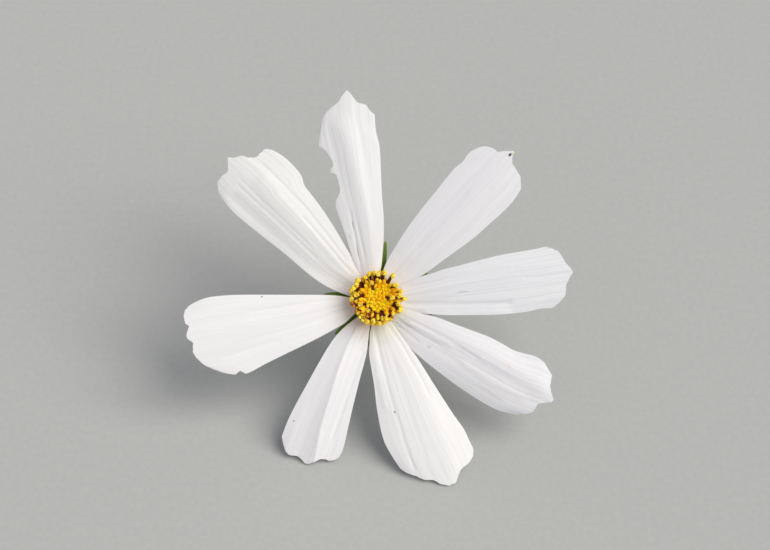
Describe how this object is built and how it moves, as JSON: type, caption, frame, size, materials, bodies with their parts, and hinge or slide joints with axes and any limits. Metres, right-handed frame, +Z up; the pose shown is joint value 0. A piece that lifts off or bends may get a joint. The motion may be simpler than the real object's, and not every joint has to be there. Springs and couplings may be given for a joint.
{
  "type": "cosmos flower",
  "caption": "White cosmos flower picked with a short stem and laid down, its tilted head resting on the tips of its lowest petals and on the curved stem.",
  "frame": {"origin": "on the surface the flower lies on, below the middle of its box", "axes": "+Z up, +Y along the level stem from the head to the cut end, +X to the right of one who faces the flower"},
  "size_m": [0.0736, 0.0936, 0.0482],
  "materials": {
    "petal": "soft satin, finely veined, slightly translucent",
    "disc_bud": "matte, waxy",
    "disc_floret": "matte, dusted with pollen",
    "bract": "satin, finely ribbed",
    "receptacle": "satin",
    "stem": "satin, ribbed lengthways"
  },
  "bodies": {
    "root": {"stem": "stem", "receptacle": "receptacle", "bud_cluster": "disc_bud", "petal_top": "petal", "petal_upper_right": "petal", "petal_right": "petal", "petal_lower_right": "petal", "petal_bottom_right": "petal", "petal_bottom_left": "petal", "petal_left": "petal", "petal_upper_left": "petal", "bract_outer_1": "bract", "bract_outer_2": "bract", "bract_outer_3": "bract", "bract_outer_4": "bract", "bract_outer_5": "bract", "bract_outer_6": "bract", "bract_outer_7": "bract", "bract_outer_8": "bract", "bract_inner_1": "bract", "bract_inner_2": "bract", "bract_inner_3": "bract", "bract_inner_4": "bract", "bract_inner_5": "bract", "bract_inner_6": "bract", "bract_inner_7": "bract", "bract_inner_8": "bract", "floret_outer_1": "disc_floret", "floret_outer_2": "disc_floret", "floret_outer_3": "disc_floret", "floret_outer_4": "disc_floret", "floret_outer_5": "disc_floret", "floret_outer_6": "disc_floret", "floret_outer_7": "disc_floret", "floret_outer_8": "disc_floret", "floret_outer_9": "disc_floret", "floret_outer_10": "disc_floret", "floret_outer_11": "disc_floret", "floret_outer_12": "disc_floret", "floret_outer_13": "disc_floret", "floret_outer_14": "disc_floret", "floret_outer_15": "disc_floret", "floret_outer_16": "disc_floret", "floret_outer_17": "disc_floret", "floret_outer_18": "disc_floret", "floret_outer_19": "disc_floret", "floret_outer_20": "disc_floret", "floret_middle_1": "disc_floret", "floret_middle_2": "disc_floret", "floret_middle_3": "disc_floret", "floret_middle_4": "disc_floret", "floret_middle_5": "disc_floret", "floret_middle_6": "disc_floret", "floret_middle_7": "disc_floret", "floret_middle_8": "disc_floret", "floret_middle_9": "disc_floret", "floret_middle_10": "disc_floret", "floret_middle_11": "disc_floret", "floret_middle_12": "disc_floret"}
  },
  "joints": []
}
